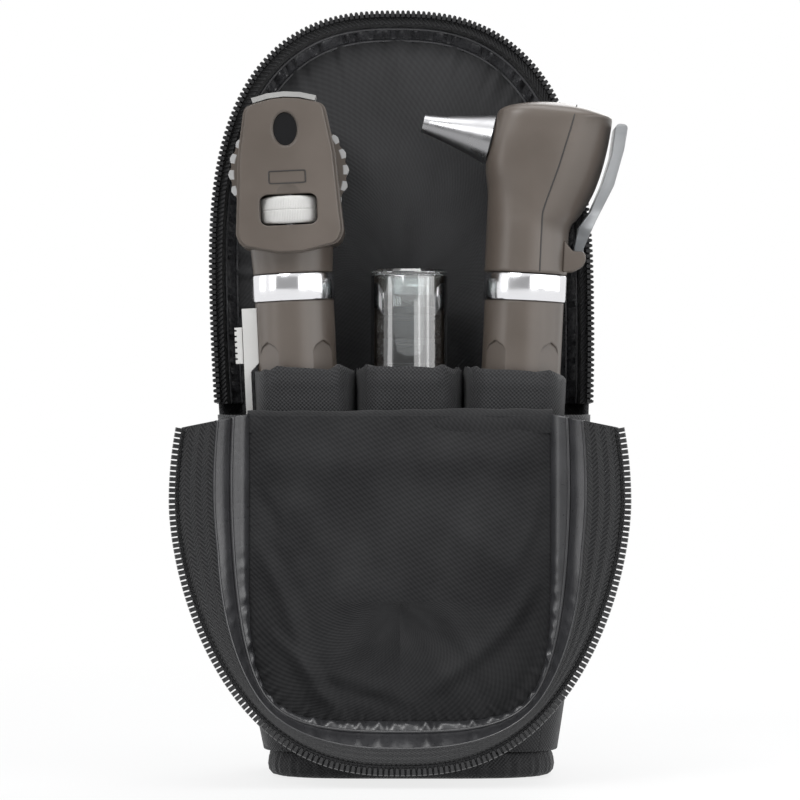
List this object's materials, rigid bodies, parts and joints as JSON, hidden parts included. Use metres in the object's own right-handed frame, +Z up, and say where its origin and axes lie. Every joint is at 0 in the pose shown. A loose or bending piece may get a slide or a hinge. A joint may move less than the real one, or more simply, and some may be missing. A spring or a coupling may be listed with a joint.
{
  "type": "otoscope carry case",
  "caption": "Soft upright zippered carry case, open, holding an ophthalmoscope, a clear tube of specula and an otoscope in its pocket.",
  "frame": {"origin": "on the underside of the base panel, midway between the pouch's front and back and on the case's centre line at its fold", "axes": "+X to the viewer's right, +Y towards the back panel, +Z up from the floor to the top of the arch"},
  "size_m": [0.1069, 0.0636, 0.1833],
  "materials": {
    "woven_shell": "herringbone woven nylon",
    "twill_lining": "fine twill lining",
    "glossy_binding": "glossy coated binding",
    "zip_tape": "herringbone tape",
    "zip_teeth": "moulded coil teeth",
    "zip_metal": "black lacquer",
    "stiff_board": "plain sheet",
    "mocha_plastic": "satin moulded",
    "ring_chrome": "polished",
    "white_plastic": "satin moulded",
    "speculum_metal": "satin",
    "steel": "turned",
    "cell_wrap": "plain sleeve",
    "dark_plastic": "moulded",
    "dark_glass": "clear over dark",
    "clear_acrylic": "clear",
    "frosted_cap": "translucent"
  },
  "bodies": {
    "case": {"back_panel": "woven_shell", "back_gusset": "woven_shell", "back_board": "stiff_board", "back_lining": "twill_lining", "back_binding": "glossy_binding", "back_zip_tape": "zip_tape", "back_zip_teeth": "zip_teeth", "pouch_front": "woven_shell", "pouch_side_left": "woven_shell", "pouch_side_right": "woven_shell", "base_panel": "woven_shell", "base_roll": "woven_shell", "pocket_left": "twill_lining", "pocket_middle": "twill_lining", "pocket_right": "twill_lining"},
    "flap": {"flap_panel": "woven_shell", "flap_lining": "twill_lining", "flap_gusset": "woven_shell", "flap_binding": "glossy_binding", "flap_zip_tape": "zip_tape", "flap_zip_teeth": "zip_teeth"},
    "slider": {"zip_slider": "zip_metal"},
    "pull": {"zip_pull": "zip_metal"},
    "ophthalmoscope": {"ophtho_handle": "mocha_plastic", "ophtho_cells": "cell_wrap", "ophtho_spring": "steel", "ophtho_ring": "ring_chrome", "ophtho_neck": "mocha_plastic", "ophtho_lamp": "steel", "ophtho_housing": "mocha_plastic", "ophtho_face": "mocha_plastic", "brow_rest": "white_plastic", "aperture_glass": "dark_glass", "readout_window": "dark_glass", "dial_pin": "steel", "wheel_pin": "steel", "ophtho_clip": "white_plastic"},
    "dial": {"lens_dial": "mocha_plastic"},
    "wheel": {"thumbwheel": "white_plastic"},
    "left_switch": {"ophtho_switch": "white_plastic"},
    "left_cap": {"ophtho_tail_cap": "mocha_plastic"},
    "otoscope": {"oto_handle": "mocha_plastic", "oto_cells": "cell_wrap", "oto_spring": "steel", "oto_ring": "ring_chrome", "oto_front_shell": "mocha_plastic", "oto_rear_shell": "mocha_plastic", "oto_nozzle": "dark_plastic", "oto_lamp": "steel", "magnifier_pin": "steel", "oto_clip": "white_plastic"},
    "magnifier": {"oto_magnifier": "clear_acrylic"},
    "speculum": {"oto_speculum": "speculum_metal"},
    "right_switch": {"oto_switch": "white_plastic"},
    "right_cap": {"oto_tail_cap": "mocha_plastic"},
    "specula_tube": {"tube": "clear_acrylic", "specula_stack": "dark_plastic"},
    "stopper": {"tube_cap": "frosted_cap"}
  },
  "joints": [
    {"name": "flap_fold", "type": "hinge", "parent": "case", "child": "flap", "pos_m": [0, -0.021, 0.086], "axis": [-1, 0, 0], "range_deg": [0, 140]},
    {"name": "zip_slide", "type": "slide", "parent": "case", "child": "slider", "axis": [-0.074, 0, 0.9973], "range_m": [0, 0.02]},
    {"name": "pull_swing", "type": "hinge", "parent": "slider", "child": "pull", "pos_m": [-0.04832, 0.0086, 0.07964], "axis": [0, 1, 0], "range_deg": [0, 95]},
    {"name": "ophthalmoscope_lift", "type": "slide", "parent": "case", "child": "ophthalmoscope", "axis": [-0.0454, 0, 0.999], "range_m": [0, 0.1]},
    {"name": "lens_dial_turn", "type": "hinge", "parent": "ophthalmoscope", "child": "dial", "pos_m": [-0.02654, -0.0016, 0.14316], "axis": [0, 1, 0], "continuous": true},
    {"name": "thumbwheel_turn", "type": "hinge", "parent": "ophthalmoscope", "child": "wheel", "pos_m": [-0.0261, -0.0131, 0.13357], "axis": [-0.0454, 0, 0.999], "continuous": true},
    {"name": "ophtho_switch_slide", "type": "slide", "parent": "ophthalmoscope", "child": "left_switch", "axis": [-0.0454, 0, 0.999], "range_m": [0, 0.004]},
    {"name": "ophtho_cap_turn", "type": "hinge", "parent": "ophthalmoscope", "child": "left_cap", "pos_m": [-0.02025, -0.0045, 0.0046], "axis": [-0.0454, 0, 0.999], "continuous": true},
    {"name": "otoscope_lift", "type": "slide", "parent": "case", "child": "otoscope", "axis": [0.0471, 0, 0.9989], "range_m": [0, 0.1]},
    {"name": "magnifier_swing", "type": "hinge", "parent": "otoscope", "child": "magnifier", "pos_m": [0.04193, -0.0045, 0.12201], "axis": [0, 1, 0], "range_deg": [0, 40]},
    {"name": "speculum_pull", "type": "slide", "parent": "otoscope", "child": "speculum", "axis": [-0.9724, 0, 0.2334], "range_m": [0, 0.02]},
    {"name": "oto_switch_slide", "type": "slide", "parent": "otoscope", "child": "right_switch", "axis": [0.0471, 0, 0.9989], "range_m": [0, 0.004]},
    {"name": "oto_cap_turn", "type": "hinge", "parent": "otoscope", "child": "right_cap", "pos_m": [0.02448, -0.0045, 0.0046], "axis": [0.0471, 0, 0.9989], "continuous": true},
    {"name": "tube_lift", "type": "slide", "parent": "case", "child": "specula_tube", "axis": [0, 0, 1], "range_m": [0, 0.015]},
    {"name": "stopper_pull", "type": "slide", "parent": "specula_tube", "child": "stopper", "axis": [0, 0, 1], "range_m": [0, 0.008]}
  ]
}
